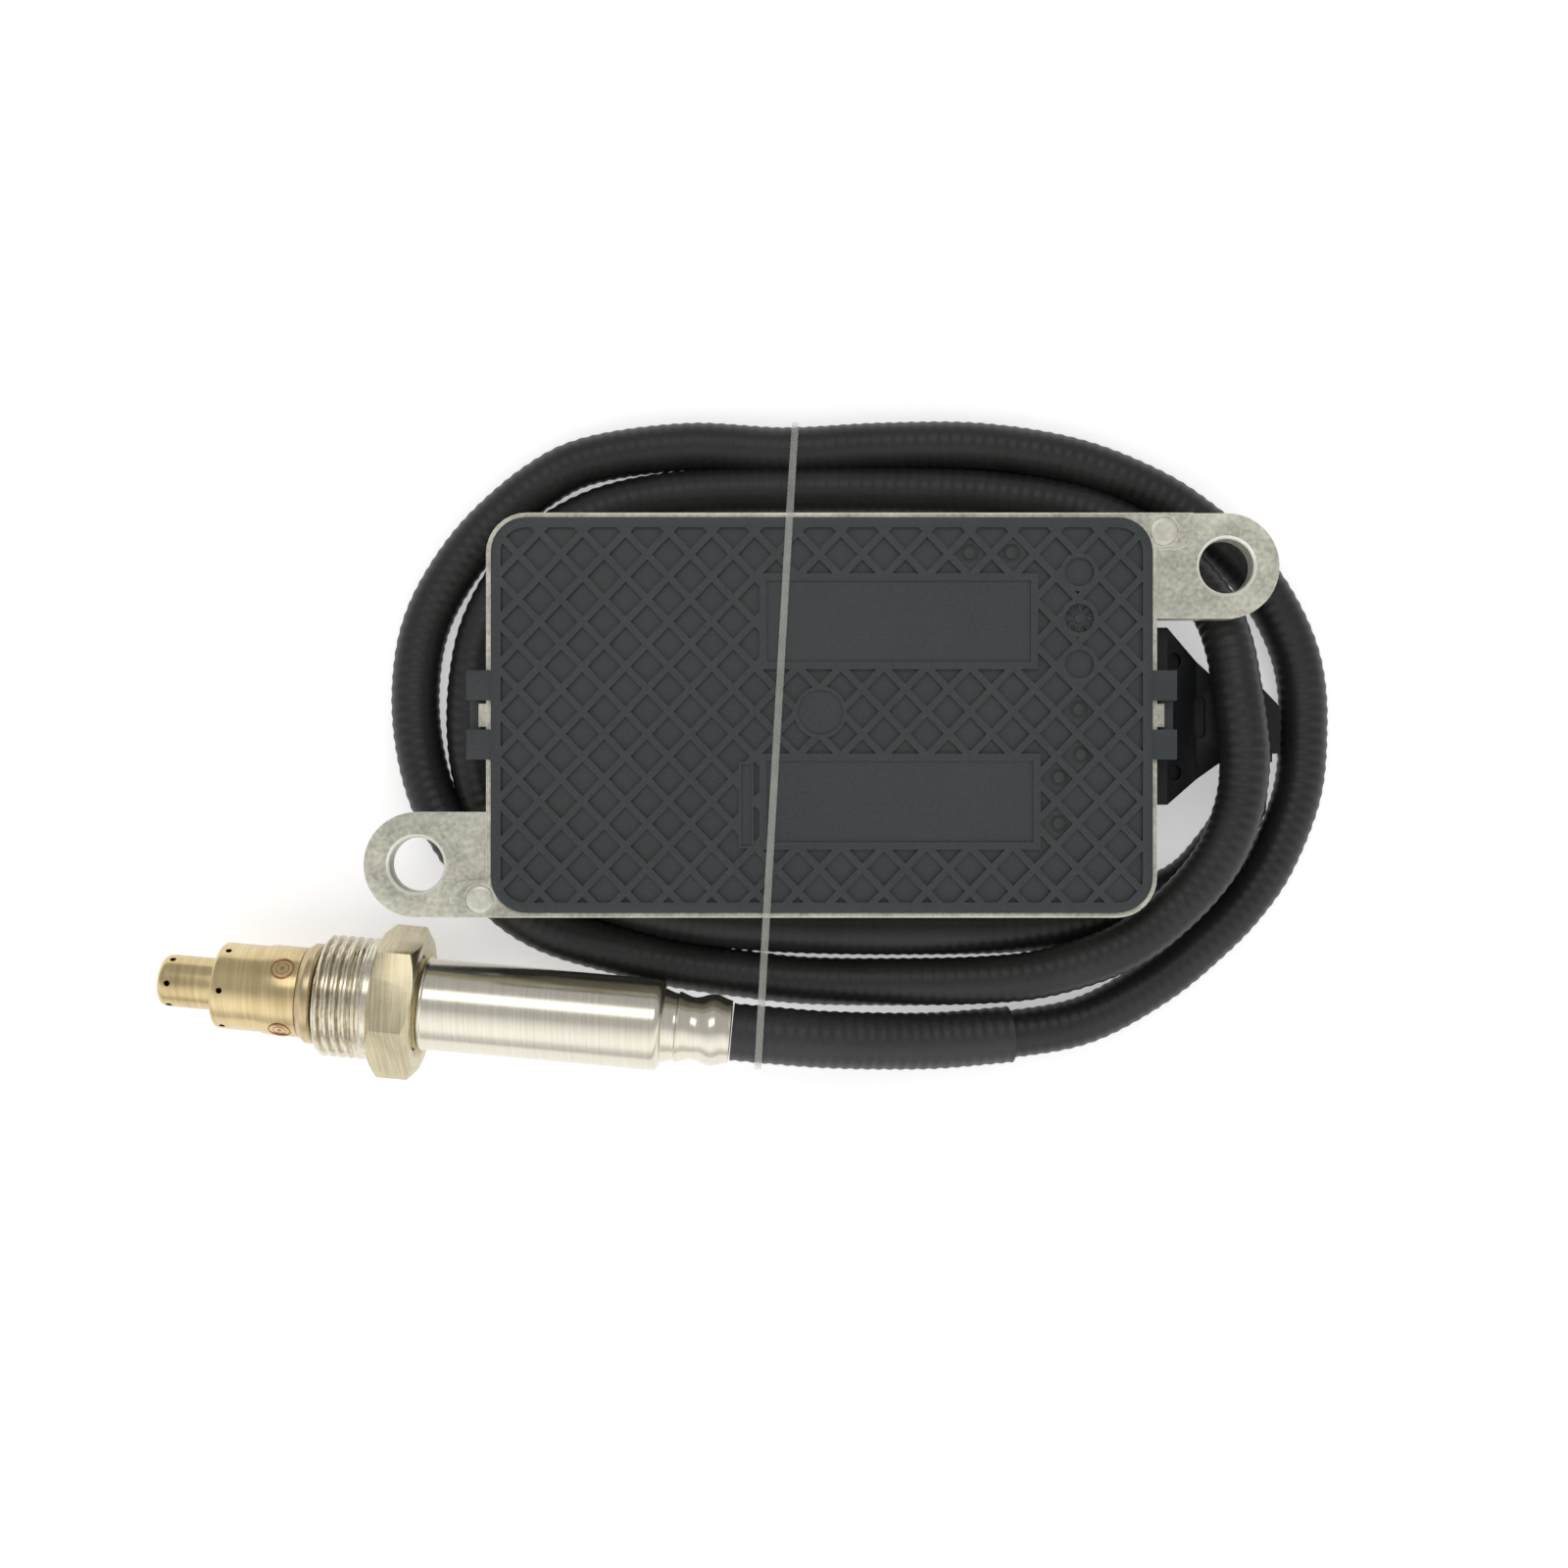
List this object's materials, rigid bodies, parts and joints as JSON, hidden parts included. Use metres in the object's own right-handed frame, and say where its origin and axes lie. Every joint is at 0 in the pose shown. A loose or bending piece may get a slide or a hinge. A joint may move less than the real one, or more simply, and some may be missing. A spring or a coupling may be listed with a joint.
{
  "type": "nitrogen oxide sensor",
  "caption": "Exhaust gas sensor: a screwed-in probe with perforated caps, joined by a coiled cable to a flat control module with mounting ears and a ribbed cover.",
  "frame": {"origin": "midway between the two ear holes of the control module, on the underside of the ears", "axes": "+X along the module's length, from the probe's tip towards the connector; +Z out of the cover, along the ear holes; +Y across the module, away from the probe"},
  "size_m": [0.195, 0.1096, 0.0245],
  "materials": {
    "cast_aluminium": "fine sand-like cast surface, satin",
    "cover_plastic": "dark grey moulded plastic, satin",
    "seal_rubber": "matt",
    "membrane": "matt",
    "board_laminate": "satin",
    "chip_black": "matt",
    "can_metal": "satin",
    "coil_ferrite": "matt",
    "heat_pad": "matt",
    "plated_screw": "satin",
    "block_plastic": "moulded, satin",
    "contact_metal": "satin",
    "silicone_seal": "matt",
    "cable_jacket": "finely ribbed, matt",
    "sleeve_jacket": "matt",
    "clear_band": "clear, soft",
    "nut_steel": "turned, satin",
    "probe_steel": "turned, satin",
    "cap_steel": "heat tinted, satin",
    "polished_tube": "polished",
    "ceramic_white": "fired ceramic",
    "ceramic_cream": "fired ceramic",
    "packed_powder": "pressed mineral powder",
    "grommet_brown": "matt",
    "lead_sheath": "satin"
  },
  "bodies": {
    "sensor": {"module_housing": "cast_aluminium", "module_cover": "cover_plastic", "cover_gasket": "seal_rubber", "vent_membrane": "membrane", "circuit_board": "board_laminate", "board_processor": "chip_black", "board_drivers": "chip_black", "board_capacitors": "can_metal", "board_inductor": "coil_ferrite", "heat_pad": "heat_pad", "board_screws": "plated_screw", "connector_block": "block_plastic", "connector_blades": "contact_metal", "connector_seal": "silicone_seal", "cable_grommet": "seal_rubber", "sensor_cable": "cable_jacket", "end_sleeve": "sleeve_jacket", "coil_band": "clear_band", "probe_body": "probe_steel", "outer_cap": "cap_steel", "inner_cap": "cap_steel", "rear_tube": "polished_tube", "sensor_element": "ceramic_white", "front_insulator": "ceramic_cream", "powder_seal": "packed_powder", "rear_insulator": "ceramic_cream", "contact_holder": "ceramic_cream", "contact_springs": "contact_metal", "rear_grommet": "grommet_brown", "probe_leads": "lead_sheath"},
    "nut": {"union_nut": "nut_steel"}
  },
  "joints": [
    {"name": "nut_spin", "type": "hinge", "parent": "sensor", "child": "nut", "pos_m": [-0.06716, -0.04717, -0.0031], "axis": [0.9958, -0.0915, 0], "continuous": true}
  ]
}
